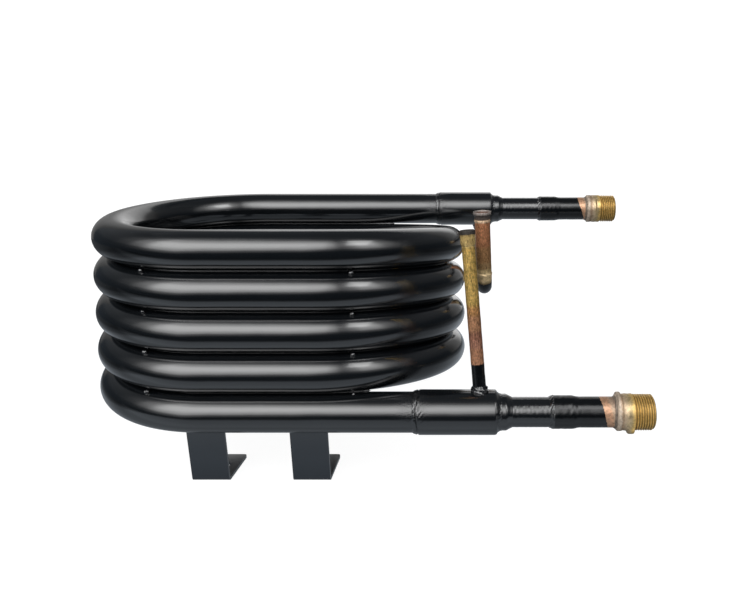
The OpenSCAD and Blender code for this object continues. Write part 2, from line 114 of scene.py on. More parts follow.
def resample(outline, step, soften):
    """Points along a polyline at an even step, then rounded: each becomes the Gaussian mean of its neighbours along
    the line, of width soften. The two ends stay."""
    outline = np.asarray(outline, float)
    s = np.concatenate([[0], np.cumsum(np.linalg.norm(np.diff(outline, axis=0), axis=1))])
    n = max(int(s[-1] / step), 8)
    t = np.linspace(0, s[-1], n)
    line = np.stack([np.interp(t, s, outline[:, k]) for k in range(2)], -1)
    if soften <= 0:
        return line
    reach = int(3 * soften / (t[1] - t[0])) + 1
    w = np.exp(-0.5 * (np.arange(-reach, reach + 1) * (t[1] - t[0]) / soften) ** 2)
    w /= w.sum()
    padded = np.concatenate([2 * line[0] - line[1 : reach + 1][::-1], line,
                             2 * line[-1] - line[-reach - 1 : -1][::-1]])
    return np.stack([np.convolve(padded[:, k], w, "valid") for k in range(2)], -1)


def turned(outline, origin, axis, around=96, step=0.35, soften=0.35, bulge=None, side=None):
    """A surface of revolution: the outline is (distance along the axis, radius) in mm; bulge(x, a) adds to the radius
    in mm. a is the angle from side towards axis x side."""
    line = resample(outline, step, soften)
    axis = np.asarray(axis, float) / np.linalg.norm(axis)
    side = np.array([0.0, 0.0, 1.0]) if side is None else np.asarray(side, float)
    u = side - axis * side.dot(axis)
    u /= np.linalg.norm(u)
    v = np.cross(axis, u)
    a = np.linspace(0, TAU, around, endpoint=False)
    x, aa = np.meshgrid(line[:, 0], a, indexing="ij")
    r = np.broadcast_to(line[:, 1:2], x.shape)
    if bulge is not None:
        r = r + bulge(x, aa)
    across = np.cos(aa)[..., None] * u + np.sin(aa)[..., None] * v
    points = np.asarray(origin, float) + MM * (x[..., None] * axis + r[..., None] * across)
    s = np.concatenate([[0], np.cumsum(np.linalg.norm(np.diff(line, axis=0), axis=1))])
    uv = np.stack(np.meshgrid(s * 0.01, a * float(line[:, 1].mean()) * 0.01, indexing="ij"), -1)
    return points, True, uv


def waves(seed, x, a, length, count, terms=6):
    """A repeatable irregular field of about unit height: a sum of sines with random phases, length mm along x and up
    to count lobes round a."""
    rng = np.random.default_rng(seed)
    total = np.zeros(np.broadcast(x, a).shape)
    for _ in range(terms):
        fx = rng.uniform(0.4, 1.3) / length
        fa = rng.integers(0, count + 1)
        total = total + np.sin(TAU * fx * x + fa * a + rng.uniform(0, TAU))
    return total / math.sqrt(terms)


def window(x, lo, hi, soft):
    """A smooth 0 to 1 to 0 step over lo..hi, with edges of width soft."""
    return 1 / (1 + np.exp(-(x - lo) / soft)) / (1 + np.exp((x - hi) / soft))


# ---------------------------------------------------------------- materials
class Nodes:
    """Short calls to build one material's node tree."""

    def __init__(self, name):
        self.mat = bpy.data.materials.new(name)
        self.mat.use_nodes = True
        self.tree = self.mat.node_tree
        self.tree.nodes.clear()
        self.out = self.add("ShaderNodeOutputMaterial")
        self.bsdf = self.add("ShaderNodeBsdfPrincipled")
        self.link(self.bsdf, "BSDF", self.out, "Surface")

    def add(self, kind, **settings):
        node = self.tree.nodes.new(kind)
        for key, value in settings.items():
            setattr(node, key, value)
        return node

    def link(self, a, out, b, into):
        self.tree.links.new(a.outputs[out], b.inputs[into])

    def set(self, **values):
        for key, value in values.items():
            self.bsdf.inputs[key.replace("_", " ")].default_value = value

    def coords(self, kind="Object", scale=(1, 1, 1), rotation=(0, 0, 0), location=(0, 0, 0)):
        tex = self.add("ShaderNodeTexCoord")
        mapping = self.add("ShaderNodeMapping")
        mapping.inputs["Scale"].default_value = scale
        mapping.inputs["Rotation"].default_value = rotation
        mapping.inputs["Location"].default_value = location
        self.link(tex, kind, mapping, "Vector")
        return mapping

    def noise(self, vector, scale, detail=3, rough=0.5, distort=0.0):
        node = self.add("ShaderNodeTexNoise")
        node.inputs["Scale"].default_value = scale
        node.inputs["Detail"].default_value = detail
        node.inputs["Roughness"].default_value = rough
        node.inputs["Distortion"].default_value = distort
        self.link(vector, "Vector", node, "Vector")
        return node

    def ramp(self, source, output, stops, mode="LINEAR"):
        node = self.add("ShaderNodeValToRGB")
        node.color_ramp.interpolation = mode
        ramp = node.color_ramp.elements
        while len(ramp) < len(stops):
            ramp.new(0.5)
        for element, (pos, color) in zip(ramp, stops):
            element.position = pos
            element.color = (*color, 1) if isinstance(color, (tuple, list)) else (color, color, color, 1)
        self.link(source, output, node, "Fac")
        return node

    def math(self, operation, a, b=None, clamp=False):
        node = self.add("ShaderNodeMath", operation=operation, use_clamp=clamp)
        for index, value in enumerate((a, b)):
            if value is None:
                continue
            if isinstance(value, tuple):
                self.tree.links.new(value[0].outputs[value[1]], node.inputs[index])
            else:
                node.inputs[index].default_value = value
        return node

    def mix(self, fac, a, b):
        """Colour mix: fac, a and b are (node, output) pairs or constants."""
        node = self.add("ShaderNodeMix", data_type="RGBA")
        for socket, value in ((node.inputs[0], fac), (node.inputs[6], a), (node.inputs[7], b)):
            if isinstance(value, tuple) and hasattr(value[0], "outputs"):
                self.tree.links.new(value[0].outputs[value[1]], socket)
            elif isinstance(value, (int, float)):
                socket.default_value = value
            else:
                socket.default_value = (*value, 1)
        return node

    def bump(self, height, output, strength, distance, normal=None):
        node = self.add("ShaderNodeBump")
        node.inputs["Strength"].default_value = strength
        node.inputs["Distance"].default_value = distance
        self.link(height, output, node, "Height")
        if normal is not None:
            self.link(normal, "Normal", node, "Normal")
        return node

    def shade_thread_grooves(self, to_axis, root, crest, depth):
        """Painted shade in a thread: the colour is times depth at the root radius and times 1 at the crest. to_axis
        moves the axis to the origin."""
        place = self.coords("Object", scale=(0, 1, 1), location=to_axis)
        radius = self.add("ShaderNodeVectorMath", operation="LENGTH")
        self.link(place, "Vector", radius, 0)
        t = self.math("MULTIPLY_ADD", (radius, "Value"), 1 / (crest - root))
        t.inputs[2].default_value = -root / (crest - root)
        groove_shade = self.ramp(t, "Value", [(0.0, depth), (1.0, 1.0)])
        link = self.bsdf.inputs["Base Color"].links[0]
        color = self.add("ShaderNodeVectorMath", operation="MULTIPLY")
        self.tree.links.new(link.from_socket, color.inputs[0])
        self.link(groove_shade, "Color", color, 1)
        self.link(color, "Vector", self.bsdf, "Base Color")

    def normal(self, node):
        self.link(node, "Normal", self.bsdf, "Normal")
        if "Coat Normal" in self.bsdf.inputs:
            self.link(node, "Normal", self.bsdf, "Coat Normal")


def black_gloss(name, wave=0.4, streak=0.3, speck=0.0, rough=0.16, brush=0.0, spatter=(),
                base=(0.0030, 0.0038, 0.0048), lumps=0.0):
    """Gloss black enamel. wave is the slow unevenness of the tube, streak the fine lines along it, brush the depth
    in mm of the brushed thickness of the paint, speck the scatter of grit in it and lumps the depth in mm of a
    weld's small lumps. spatter holds (x, y, width, depth): weld spatter under the paint, round the place x on the
    run at y, that fades over width metres. All but the lumps and the spatter follow the piece's UV map."""
    n = Nodes(name)
    along = n.coords("UV")
    slow = n.noise(along, 2.2, 2, 0.5)
    fine = n.noise(n.coords("UV", scale=(1.2, 34, 1)), 3.0, 4, 0.6)
    grain = n.noise(along, 60, 3, 0.6)
    dark, pale = [0.8 * c for c in base], [1.2 * c for c in base]
    tone = n.ramp(slow, "Fac", [(0.3, tuple(dark)), (0.75, tuple(pale))])
    n.link(tone, "Color", n.bsdf, "Base Color")
    gloss = n.math("MULTIPLY_ADD", (fine, "Fac"), 0.10)
    gloss.inputs[2].default_value = rough - 0.05
    n.link(gloss, "Value", n.bsdf, "Roughness")
    n.set(IOR=1.5, Specular_IOR_Level=0.55, Coat_Weight=1.0, Coat_Roughness=0.11, Coat_IOR=1.6)
    b = n.bump(slow, "Fac", wave, 0.0012)
    b = n.bump(fine, "Fac", streak, 0.00006, b)
    if brush:
        strokes = n.noise(n.coords("UV", scale=(7, 16, 1)), 2.2, 3, 0.55, 0.8)
        b = n.bump(strokes, "Fac", 1.0, brush * MM, b)
    if lumps:
        b = n.bump(n.noise(n.coords("Object"), 480, 2, 0.5), "Fac", 1.0, lumps * MM, b)
    b = n.bump(grain, "Fac", 0.12, 0.00008, b)
    if speck:
        grit = n.add("ShaderNodeTexVoronoi")
        grit.inputs["Scale"].default_value = 26
        n.link(along, "Vector", grit, "Vector")
        dots = n.ramp(grit, "Distance", [(0.0, 1.0), (0.09, 0.0)])
        b = n.bump(dots, "Color", speck, 0.0004, b)
    if spatter:
        level = n.math("SUBTRACT", (n.noise(n.coords("Object"), 800, 3, 0.6), "Fac"), 0.5)
        place = n.add("ShaderNodeSeparateXYZ")
        n.link(n.coords("Object"), "Vector", place, "Vector")
        half_width = 0.03
        for x0, y0, width, depth in spatter:
            far_x = n.math("DIVIDE", (n.math("SUBTRACT", (place, "X"), x0), "Value"), width)
            far_y = n.math("DIVIDE", (n.math("SUBTRACT", (place, "Y"), y0), "Value"), half_width)
            square = n.math("ADD", (n.math("MULTIPLY", (far_x, "Value"), (far_x, "Value")), "Value"),
                            (n.math("MULTIPLY", (far_y, "Value"), (far_y, "Value")), "Value"))
            near = n.math("EXPONENT", (n.math("MULTIPLY", (square, "Value"), -1.0), "Value"))
            height = n.math("MULTIPLY", (level, "Value"), (near, "Value"))
            b = n.bump(height, "Value", 1.0, depth * MM, b)
    n.normal(b)
    return n.mat


def patina(name, direction, start, stops, kind="Object", wobble=0.0, wobble_scale=150.0, mottle=0.3, streak=0.0,
           pits=0.3):
    """Metal whose colour, metallic share and roughness follow t = direction . coordinate - start in mm, which noise of
    height wobble mm makes irregular. stops are (t, colour, metallic, roughness). mottle is the scatter of lighter and
    darker spots, streak that of lines along the piece, pits the depth of the surface's grain."""
    n = Nodes(name)
    place = n.coords(kind)
    dot = n.add("ShaderNodeVectorMath", operation="DOT_PRODUCT")
    dot.inputs[1].default_value = direction
    n.link(place, "Vector", dot, 0)
    at = n.coords("Object")
    blot = n.noise(at, wobble_scale, 4, 0.6)
    shift = n.math("MULTIPLY_ADD", (blot, "Fac"), wobble * 2)
    shift.inputs[2].default_value = -start - wobble
    t = n.math("ADD", (dot, "Value"), (shift, "Value"))
    low, high = stops[0][0], stops[-1][0]
    unit = n.math("MULTIPLY_ADD", (t, "Value"), 1 / (high - low))
    unit.inputs[2].default_value = -low / (high - low)
    color = n.ramp(unit, "Value", [((x - low) / (high - low), c) for x, c, _, _ in stops])
    finish = n.ramp(unit, "Value", [((x - low) / (high - low), (m, r, 0)) for x, _, m, r in stops])
    spots = n.noise(at, 420, 5, 0.68, 0.4)
    tone = n.ramp(spots, "Fac", [(0.30, 1 - mottle), (0.52, 1.0), (0.72, 1 + 0.7 * mottle)])
    lines = n.noise(n.coords("UV", scale=(6, 40, 1)), 3.0, 4, 0.65)
    grey = n.ramp(lines, "Fac", [(0.30, 1 - streak), (0.50, 1.0), (0.70, 1 + 0.8 * streak)])
    both = n.add("ShaderNodeVectorMath", operation="MULTIPLY")
    n.link(tone, "Color", both, 0)
    n.link(grey, "Color", both, 1)
    final = n.add("ShaderNodeVectorMath", operation="MULTIPLY")
    n.link(color, "Color", final, 0)
    n.link(both, "Vector", final, 1)
    n.link(final, "Vector", n.bsdf, "Base Color")
    split = n.add("ShaderNodeSeparateColor")
    n.link(finish, "Color", split, "Color")
    n.link(split, "Red", n.bsdf, "Metallic")
    n.link(split, "Green", n.bsdf, "Roughness")
    n.set(IOR=1.5)
    b = n.bump(spots, "Fac", pits, 0.0003)
    b = n.bump(lines, "Fac", streak * 0.5, 0.0001, b)
    n.link(b, "Normal", n.bsdf, "Normal")
    return n


# ---------------------------------------------------------------- the frame's dimensions
low_header, up_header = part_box("lower_header"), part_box("upper_header")
coil_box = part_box("outer_tube")
TUBE_R = 19 * MM
HEADER_OVERLAP = 12 * MM  # length of coil tube inside each header
COIL_SKIN = 0.9999  # keeps the dressed tube just inside the solid one
ROW_Y = (coil_box[1][1] - coil_box[0][1]) / 2 - TUBE_R
LOW_Z = (low_header[0][2] + low_header[1][2]) / 2
TOP_Z = (up_header[0][2] + up_header[1][2]) / 2
TURNS = 4
PITCH = (TOP_Z - LOW_Z) / (TURNS + 0.5)
BEND_R = math.hypot(ROW_Y, PITCH / 4)
HALF_RUN = 52 * MM
RUN_POINTS, BEND_POINTS = 13, 80  # points of the centre line in one straight run and in one bend
COIL_X = coil_box[0][0] + TUBE_R + BEND_R + HALF_RUN


def coil_path():
    """The centre line: straight runs at y = -/+ row and half rings that lean by the climb of half a turn,
    z = z0 + pitch / 4 (1 - cos a)."""
    a = np.linspace(0, math.pi, BEND_POINTS + 1)[:-1]
    rows = []
    for k in range(TURNS + 1):
        start = low_header[0][0] + HEADER_OVERLAP - COIL_X if k == 0 else HALF_RUN
        rows.append(np.stack([np.linspace(start, -HALF_RUN, RUN_POINTS + 1)[:-1], np.full(RUN_POINTS, -ROW_Y),
                              np.full(RUN_POINTS, k * PITCH)], -1))
        rows.append(np.stack([-HALF_RUN - BEND_R * np.sin(a), -ROW_Y * np.cos(a),
                              k * PITCH + PITCH / 4 * (1 - np.cos(a))], -1))
        end = up_header[0][0] + HEADER_OVERLAP - COIL_X if k == TURNS else HALF_RUN
        count = RUN_POINTS + 1 if k == TURNS else RUN_POINTS
        rows.append(np.stack([np.linspace(-HALF_RUN, end, RUN_POINTS + 1)[:count], np.full(count, ROW_Y),
                              np.full(count, (k + 0.5) * PITCH)], -1))
        if k < TURNS:
            rows.append(np.stack([HALF_RUN + BEND_R * np.sin(a), ROW_Y * np.cos(a),
                                  (k + 0.75) * PITCH - PITCH / 4 * np.cos(a)], -1))
    return np.concatenate(rows) + np.array([COIL_X, 0, LOW_Z])


# The two seams, and the weld spatter beside each as (x, y, width, depth in mm)
SEAMS = ((low_header[0][0] - 0.003, -ROW_Y), (up_header[0][0] - 0.003, ROW_Y))
ON_COIL = [(x - 0.006, y, 0.011, 0.32) for x, y in SEAMS]
ON_HEADER = [(x + 0.005, y, 0.008, 0.26) for x, y in SEAMS]
coil_paint = black_gloss("coil_paint", wave=0.35, streak=0.25, rough=0.18, spatter=ON_COIL)
header_paint = black_gloss("header_paint", wave=0.25, streak=0.2, speck=0.12, rough=0.17, spatter=ON_HEADER)
pipe_paint = black_gloss("pipe_paint", wave=0.15, streak=0.4, speck=0.25, rough=0.15, brush=0.02, lumps=0.09)
weld_paint = black_gloss("weld_paint", wave=0.1, streak=0.0, rough=0.11, lumps=0.4)

path = coil_path()
grid_object("coil_tube", [sweep(path, np.full(len(path), TUBE_R * COIL_SKIN), 80)], coil_paint,
            replaces=("outer_tube",))
BRIDGE_DEGREES = 26


def bridge_end(front):
    """The line half way between a straight run that leaves the coil and the bend next to it, from
    BRIDGE_DEGREES round the bend back to its start, with a point at each degree."""
    a = np.radians(np.linspace(BRIDGE_DEGREES, 1, BRIDGE_DEGREES))
    x = HALF_RUN + BEND_R * np.sin(a)
    if front:
        bend = np.stack([x, -ROW_Y * np.cos(a), PITCH - PITCH / 4 * (1 - np.cos(a))], -1)
        run = np.stack([x, np.full(BRIDGE_DEGREES, -ROW_Y), np.zeros(BRIDGE_DEGREES)], -1)
    else:
        bend = np.stack([x, ROW_Y * np.cos(a), (TURNS - 0.5) * PITCH + PITCH / 4 * (1 - np.cos(a))], -1)
        run = np.stack([x, np.full(BRIDGE_DEGREES, ROW_Y), np.full(BRIDGE_DEGREES, (TURNS + 0.5) * PITCH)], -1)
    return (bend + run) / 2 + np.array([COIL_X, 0, LOW_Z])


# The thread of paint in the groove runs half a turn's climb above the centre line, and thins out at both ends.
LAP = 2 * (RUN_POINTS + BEND_POINTS)
LAST_REAR_RUN = 3 * LAP + 2 * RUN_POINTS + BEND_POINTS
first = int(np.argmax(path[:, 0] - COIL_X < HALF_RUN))
groove = np.concatenate([bridge_end(True), path[first:LAST_REAR_RUN] + np.array([0, 0, PITCH / 2]),
                         bridge_end(False)[::-1]])
rank = np.minimum(np.arange(len(groove)), np.arange(len(groove))[::-1])
thin = MM * np.interp(rank, [0, 1, 3, 12, 24], [0.01, 0.8, 1.5, 1.4, 1.15])
grid_object("paint_bridge", [sweep(groove, thin, 12)], coil_paint)

PAINT = (0.0022, 0.0027, 0.0033)
COPPER = (0.60, 0.27, 0.13)
TAIL_COPPER = (0.62, 0.36, 0.22)
BRASS = (0.74, 0.49, 0.16)
THREAD_ROOT_R, THREAD_CREST_R = 15.4 * MM, 16.2 * MM


def tail_finish(side, edge, slope):
    """Black up to a slanted brush edge, then copper, then the flux and braze stains next to the nipple."""
    e = ENDS[side]
    n = patina(side + "_tail_finish", (1000, 0, 1000 * slope), 1000 * (edge + slope * e["z"]), [
        (-2.0, PAINT, 0.0, 0.17), (-0.15, PAINT, 0.0, 0.17), (0.15, TAIL_COPPER, 0.65, 0.44),
        (6.0, TAIL_COPPER, 0.65, 0.46), (8.5, (0.50, 0.36, 0.25), 0.6, 0.5),
        (11.0, (0.36, 0.25, 0.18), 0.45, 0.58), (14.0, (0.30, 0.21, 0.15), 0.4, 0.6)],
        wobble=2.2, wobble_scale=190, mottle=0.5, streak=0.12, pits=0.45)
    n.set(Coat_Weight=0.25, Coat_Roughness=0.1)
    return n.mat


def nipple_finish(side):
    """Brass, clean on the thread, stained and pale with braze at the socket end."""
    e = ENDS[side]
    n = patina(side + "_nipple_finish", (1000, 0, 0), 1000 * e["ns"], [
        (-4.0, (0.54, 0.43, 0.33), 0.5, 0.5), (1.5, (0.60, 0.49, 0.38), 0.5, 0.48),
        (3.6, (0.42, 0.29, 0.19), 0.6, 0.5), (6.5, (0.62, 0.47, 0.31), 0.65, 0.45),
        (11.0, (0.64, 0.49, 0.26), 0.75, 0.40), (14.0, BRASS, 0.5, 0.34), (17.0, BRASS, 0.5, 0.30)],
        wobble=3.2, wobble_scale=170, mottle=0.42, streak=0.0, pits=0.22)
    # Painted shade darkens the thread's roots.
    n.shade_thread_grooves((0, -e["y"], -e["z"]), THREAD_ROOT_R, THREAD_CREST_R, 0.4)
    return n.mat


# ---------------------------------------------------------------- headers, reducers, pipes and nipples
# Each end's axis (y, z), the start and end of its header (hs, he), and the start of its tail (ts) and nipple (ns)
ENDS = {}
for side_name, y in (("lower", -ROW_Y), ("upper", ROW_Y)):
    ENDS[side_name] = {"y": y, "z": LOW_Z if side_name == "lower" else TOP_Z,
                       "hs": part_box(side_name + "_header")[0][0], "he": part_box(side_name + "_header")[1][0],
                       "ts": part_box(side_name + "_tail")[0][0], "ns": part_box(side_name + "_nipple")[0][0]}
AXIS = np.array([1.0, 0.0, 0.0])


def end_piece(side, part, x0, outline, material, around=96, step=0.4, soften=0.3, bulge=None):
    """A piece turned about an end's axis that takes the place of that end's CAD node."""
    e = ENDS[side]
    grid = turned(outline, (x0, e["y"], e["z"]), AXIS, around, step, soften, bulge)
    node = side + "_" + part
    return grid_object(node + "_form", [grid], material, replaces=(node,))


def lug(a, middle, half_width, height):
    """A lug round the axis: height exp(-(d / half_width)^4), where d is the angle from its middle."""
    d = np.abs((a - middle + math.pi) % TAU - math.pi)
    return height * np.exp(-((d / half_width) ** 4))


def make_nipple(side, collar_at, collar_half, ear_at, seed):
    """A turned nipple. Its right-hand thread is r = root + depth tri(x / pitch - a / 2 pi), its rim and its body each
    carry a lug."""
    length, pitch, root, depth = 35.0, 2.309, 15.145, 1.48
    thread_turns = 8
    start = length - thread_turns * pitch
    line = [(0.0, 14.4), (0.0, 16.9), (0.5, 17.3), (3.9, 17.3), (4.5, 16.9), (5.4, 16.85), (9.0, 17.2),
            (start - 1.2, 17.2), (start - 0.2, root + 0.2), (length - 1.6, root + 0.1),
            (length - 0.4, root - 0.2), (length, root - 0.6), (length, 13.0), (length - 0.6, 12.5),
            (11.0, 12.5), (11.0, 14.3), (0.0, 14.4)]

    def bulge(x, a):
        rank = np.arange(x.shape[0])[:, None]
        outer = rank < np.argmax(x[:, 0] > length - 0.15)
        tri = 1 - np.abs(2 * ((x / pitch - a / TAU) % 1.0) - 1)
        thread = depth * np.clip(1.45 * tri - 0.25, 0, 1) * window(x, start - 0.1, length - 0.9, 0.22)
        rim = lug(a, collar_at, collar_half, 1.6) * window(x, 0.2, 4.0, 0.18)
        ear = lug(a, ear_at, 0.52, 2.9) * window(x, 9.9, 16.1, 0.35)
        rough = 0.10 * waves(seed, x, a, 6, 7) * window(x, 0.3, 13.5, 0.6)
        return np.where(outer, thread + rim + ear + rough, 0.0)

    end_piece(side, "nipple", ENDS[side]["ns"], line, nipple_finish(side), 160, 0.16, 0.12, bulge)


def seam_crack(x, a, seed):
    """The crack in a seam: depth exp(-((x - its wavering middle) / width)^2), in mm."""
    depth, width, middle, waver = 1.2, 0.5, 0.9, 1.1
    return depth * np.exp(-(((x + middle - waver * waves(seed, 0 * x, a, 40, 7)) / width) ** 2))


COVERED = 30 * MM  # length of water pipe inside each header
BELL_DEPTH = 10 * MM  # length of water pipe inside each tail's bell
# The brush edge on each tail: its distance from the nipple in mm, and its slope
BRUSH_EDGE = {"lower": (11.9, 0.262), "upper": (8.6, 0.315)}
for side in ("lower", "upper"):
    e = ENDS[side]
    seed = 11 if side == "lower" else 47
    length = (e["he"] - e["hs"]) / MM
    end_piece(side, "header", e["hs"], [(0, 19.2), (0, 20.7), (1.1, 21.18), (length - 0.9, 21.18),
                                        (length, 20.5), (length, 19.1), (0, 19.2)],
              header_paint, 160, 0.5, 0.3,
              lambda x, a, s=seed: (0.02 * waves(s, x, a, 30, 3)
                                    + 0.10 * waves(s + 1, x, a, 2.4, 34, 14) * window(x, -3, 5, 1.4) - 0.17))
    end_piece(side, "seam_weld", e["hs"], [(-5.6, 18.9), (-5.2, 19.25), (-4.2, 19.9), (-2.2, 20.4),
                                           (-0.4, 20.95), (0.9, 21.0), (0.9, 18.9)],
              weld_paint, 180, 0.25, 0.2,
              lambda x, a, s=seed: (0.15 * waves(s + 2, x, a, 2.2, 40, 14) * window(x, -6.5, 0.5, 0.5)
                                    + 0.2 * waves(s + 3, x, a, 40, 9) * window(x, -6.5, -3.2, 0.6)
                                    - seam_crack(x, a, s + 12)))
    end_piece(side, "end_weld", e["he"], [(-0.5, 20.4), (0.1, 20.7), (0.7, 19.7), (1.5, 18.6), (2.7, 17.75),
                                          (4.2, 17.2), (5.8, 16.9), (5.8, 16.6)],
              weld_paint, 128, 0.25, 0.25,
              lambda x, a, s=seed: 0.10 * waves(s + 4, x, a, 2.2, 30, 12))
    end_piece(side, "reducer", e["he"], [(-1.8, 14.1), (-1.8, 19.0), (-0.3, 19.0), (-0.3, 16.9), (8.9, 16.95),
                                         (9.8, 16.75), (12.8, 15.1), (14.4, 14.45), (15.1, 14.15), (15.1, 13.9)],
              pipe_paint, 112, 0.35, 0.35,
              lambda x, a, s=seed: 0.05 * waves(s + 5, x, a, 5, 9) * window(x, 9, 15, 1.0))
    start, end = e["he"] - COVERED, e["ts"] + BELL_DEPTH
    span = (end - start) / MM
    end_piece(side, "water_pipe", start, [(0, 12.85), (0, 13.95), (span, 13.95), (span, 12.85), (0, 12.85)],
              pipe_paint, 96, 0.6, 0.2,
              lambda x, a, s=seed, w=span: (np.where(x < w - 0.2, 0.03 * waves(s + 6, x, a, 5, 5), 0)
                                            * window(x, 34, 200, 3)))
    end_piece(side, "bell_braze", e["ts"], [(-3.6, 13.9), (-3.0, 14.3), (-1.7, 14.95), (-0.5, 15.45),
                                            (0.6, 15.6), (0.9, 15.2)],
              weld_paint, 128, 0.2, 0.2,
              lambda x, a, s=seed: 0.20 * waves(s + 7, x, a, 2.0, 26, 12))
    end_piece(side, "tail", e["ts"], [(0.2, 14.15), (0.2, 15.2), (0.8, 15.5), (18.2, 15.45), (20.0, 15.25),
                                      (22.6, 14.6), (25.0, 14.3), (70.8, 14.3), (70.8, 12.9), (24.0, 12.9),
                                      (19.0, 14.1), (0.2, 14.15)],
              tail_finish(side, e["ns"] - BRUSH_EDGE[side][0] * MM, BRUSH_EDGE[side][1]),
              112, 0.45, 0.3,
              lambda x, a, s=seed: (0.05 * waves(s + 8, x, a, 6, 9) * window(x, 0.5, 25, 1.5)
                                    + 0.03 * waves(s + 9, x, a, 16, 4)))
    end_piece(side, "nipple_braze", e["ns"], [(-3.4, 14.2), (-2.6, 14.6), (-1.4, 15.4), (-0.5, 16.3),
                                              (0.3, 16.9), (0.5, 16.3)],
              nipple_finish(side), 112, 0.2, 0.2,
              lambda x, a, s=seed: 0.22 * waves(s + 10, x, a, 2.4, 11))
make_nipple("lower", 0.0, 0.75, math.radians(158), 71)
make_nipple("upper", math.radians(-90), 0.75, math.radians(70), 83)


# ---------------------------------------------------------------- refrigerant stubs
def leaned(v, degrees):
    """v turned about the Y axis."""
    c, s = math.cos(math.radians(degrees)), math.sin(math.radians(degrees))
    return np.array([v[0] * c + v[2] * s, v[1], -v[0] * s + v[2] * c])


FRONT = (0.0, -1.0, 0.0)
LOW_LEAN, UP_LEAN, LEG_LEAN = 4.5, 2.2, 6  # degrees: the lower stub, the elbow, and its leg to the front
LOW_STUB_R, UP_STUB_R = 6.35, 9.525
STUB_RISE, STUB_BELL = 173.5, 13.0
ELBOW_R, ELBOW_DROP, ELBOW_TUBE_R = 20, 77, 9.5
LOW_PORT_BACK, UP_PORT_BACK = 13.8, 12.0  # mm from a header's outer end back to its stub
low_port = np.array([ENDS["lower"]["he"] - LOW_PORT_BACK * MM, -ROW_Y, LOW_Z])
up_port = np.array([ENDS["upper"]["he"] - UP_PORT_BACK * MM, ROW_Y, TOP_Z])
low_axis = leaned((0, 0, 1), -LOW_LEAN)
stub_len = STUB_RISE / math.cos(math.radians(LOW_LEAN))

DARK_RIM = (0.055, 0.045, 0.038)
YELLOW = (0.72, 0.47, 0.135)
# The strong lines along the stub are its streaks and scratches, lightened further as painted highlight streaks.
low_stub_finish = patina("lower_stub_finish", (100, 0, 0), -18.5, [
    (17, PAINT, 0.0, 0.16), (48.4, PAINT, 0.0, 0.16), (48.9, (0.56, 0.27, 0.15), 0.6, 0.40),
    (62, (0.56, 0.27, 0.15), 0.6, 0.42), (65, (0.42, 0.20, 0.13), 0.6, 0.45),
    (71, (0.42, 0.20, 0.13), 0.6, 0.45), (73, (0.35, 0.16, 0.10), 0.6, 0.45),
    (78, (0.35, 0.16, 0.10), 0.6, 0.45), (82, (0.50, 0.25, 0.13), 0.6, 0.43),
    (93, (0.50, 0.25, 0.13), 0.6, 0.43), (97, (0.54, 0.27, 0.10), 0.6, 0.42),
    (102, (0.54, 0.27, 0.10), 0.6, 0.42), (106, YELLOW, 0.6, 0.40), (158, YELLOW, 0.6, 0.38),
    (160, (0.92, 0.64, 0.25), 0.65, 0.27), (170.2, (0.90, 0.62, 0.24), 0.65, 0.27), (171.2, DARK_RIM, 0.3, 0.5),
    (200, DARK_RIM, 0.3, 0.5)],
    kind="UV", wobble=1.2, wobble_scale=140, mottle=0.55, streak=0.8, pits=0.5).mat
bell = stub_len - STUB_BELL
line = [(18.5, 5.5), (18.5, 6.33), (bell - 2.4, 6.33), (bell - 1.6, 6.2), (bell - 1.0, 6.5), (bell, 7.1),
        (bell + 1.0, 7.3), (stub_len - 4.2, 7.25), (stub_len - 3.6, 7.35), (stub_len - 0.4, 7.34),
        (stub_len, 7.1), (stub_len, 6.6), (stub_len - 0.6, 6.45), (bell, 6.45), (bell - 1, 5.5), (18.5, 5.5)]
grid = turned(line, low_port, low_axis, 72, 0.45, 0.25,
              lambda x, a: np.where(x < stub_len - 1, 0.05 * waves(5, x, a, 14, 4), 0.0) - 0.05, side=FRONT)
grid_object("lower_stub_form", [grid], low_stub_finish, replaces=("lower_stub",))


def port_bead(node, port, axis, stub_r, seed):
    """The fillet round a stub's foot, with the lumps of a hand weld."""
    line = [(16.5, stub_r + 2.1), (20.3, stub_r + 2.0), (22.0, stub_r + 1.8), (23.6, stub_r + 1.3),
            (25.2, stub_r + 0.6), (26.8, stub_r - 0.1), (26.8, stub_r - 0.4)]
    grid = turned(line, port, axis, 96, 0.25, 0.35,
                  lambda x, a: 0.42 * waves(seed, x, a, 4.0, 9) * window(x, 15, 26.4, 0.5), side=FRONT)
    grid_object(node + "_form", [grid], weld_paint, replaces=(node,))


port_bead("lower_port_weld", low_port, low_axis, LOW_STUB_R, 23)
port_bead("upper_port_weld", up_port, -leaned((0, 0, 1), -UP_LEAN), UP_STUB_R, 29)

sweep_a = np.radians(np.linspace(0, 180 - LEG_LEAN, 60))
drop = np.linspace(-18, -ELBOW_DROP, 40)[:-1]
elbow_line = np.concatenate([np.stack([0 * drop, 0 * drop, drop], -1),
                             np.stack([0 * sweep_a, -ELBOW_R + ELBOW_R * np.cos(sweep_a),
                                       -ELBOW_DROP - ELBOW_R * np.sin(sweep_a)], -1)])
elbow_path = np.array([leaned(p, -UP_LEAN) for p in elbow_line]) * MM + up_port
BLOTCH = (0.80, 0.60, 0.33)
elbow_finish = patina("upper_elbow_finish", (100, 0, 0), 0, [
    (0, PAINT, 0.0, 0.17), (111.6, PAINT, 0.0, 0.17), (112.4, (0.30, 0.21, 0.10), 0.5, 0.5),
    (115, BLOTCH, 0.4, 0.45), (121, BLOTCH, 0.4, 0.45)],
    kind="UV", wobble=1.6, wobble_scale=160, mottle=0.5, streak=0.1, pits=0.5).mat
grid_object("upper_elbow_form", [sweep(elbow_path, np.full(len(elbow_path), ELBOW_TUBE_R * MM), 72)], elbow_finish,
            replaces=("upper_elbow",))

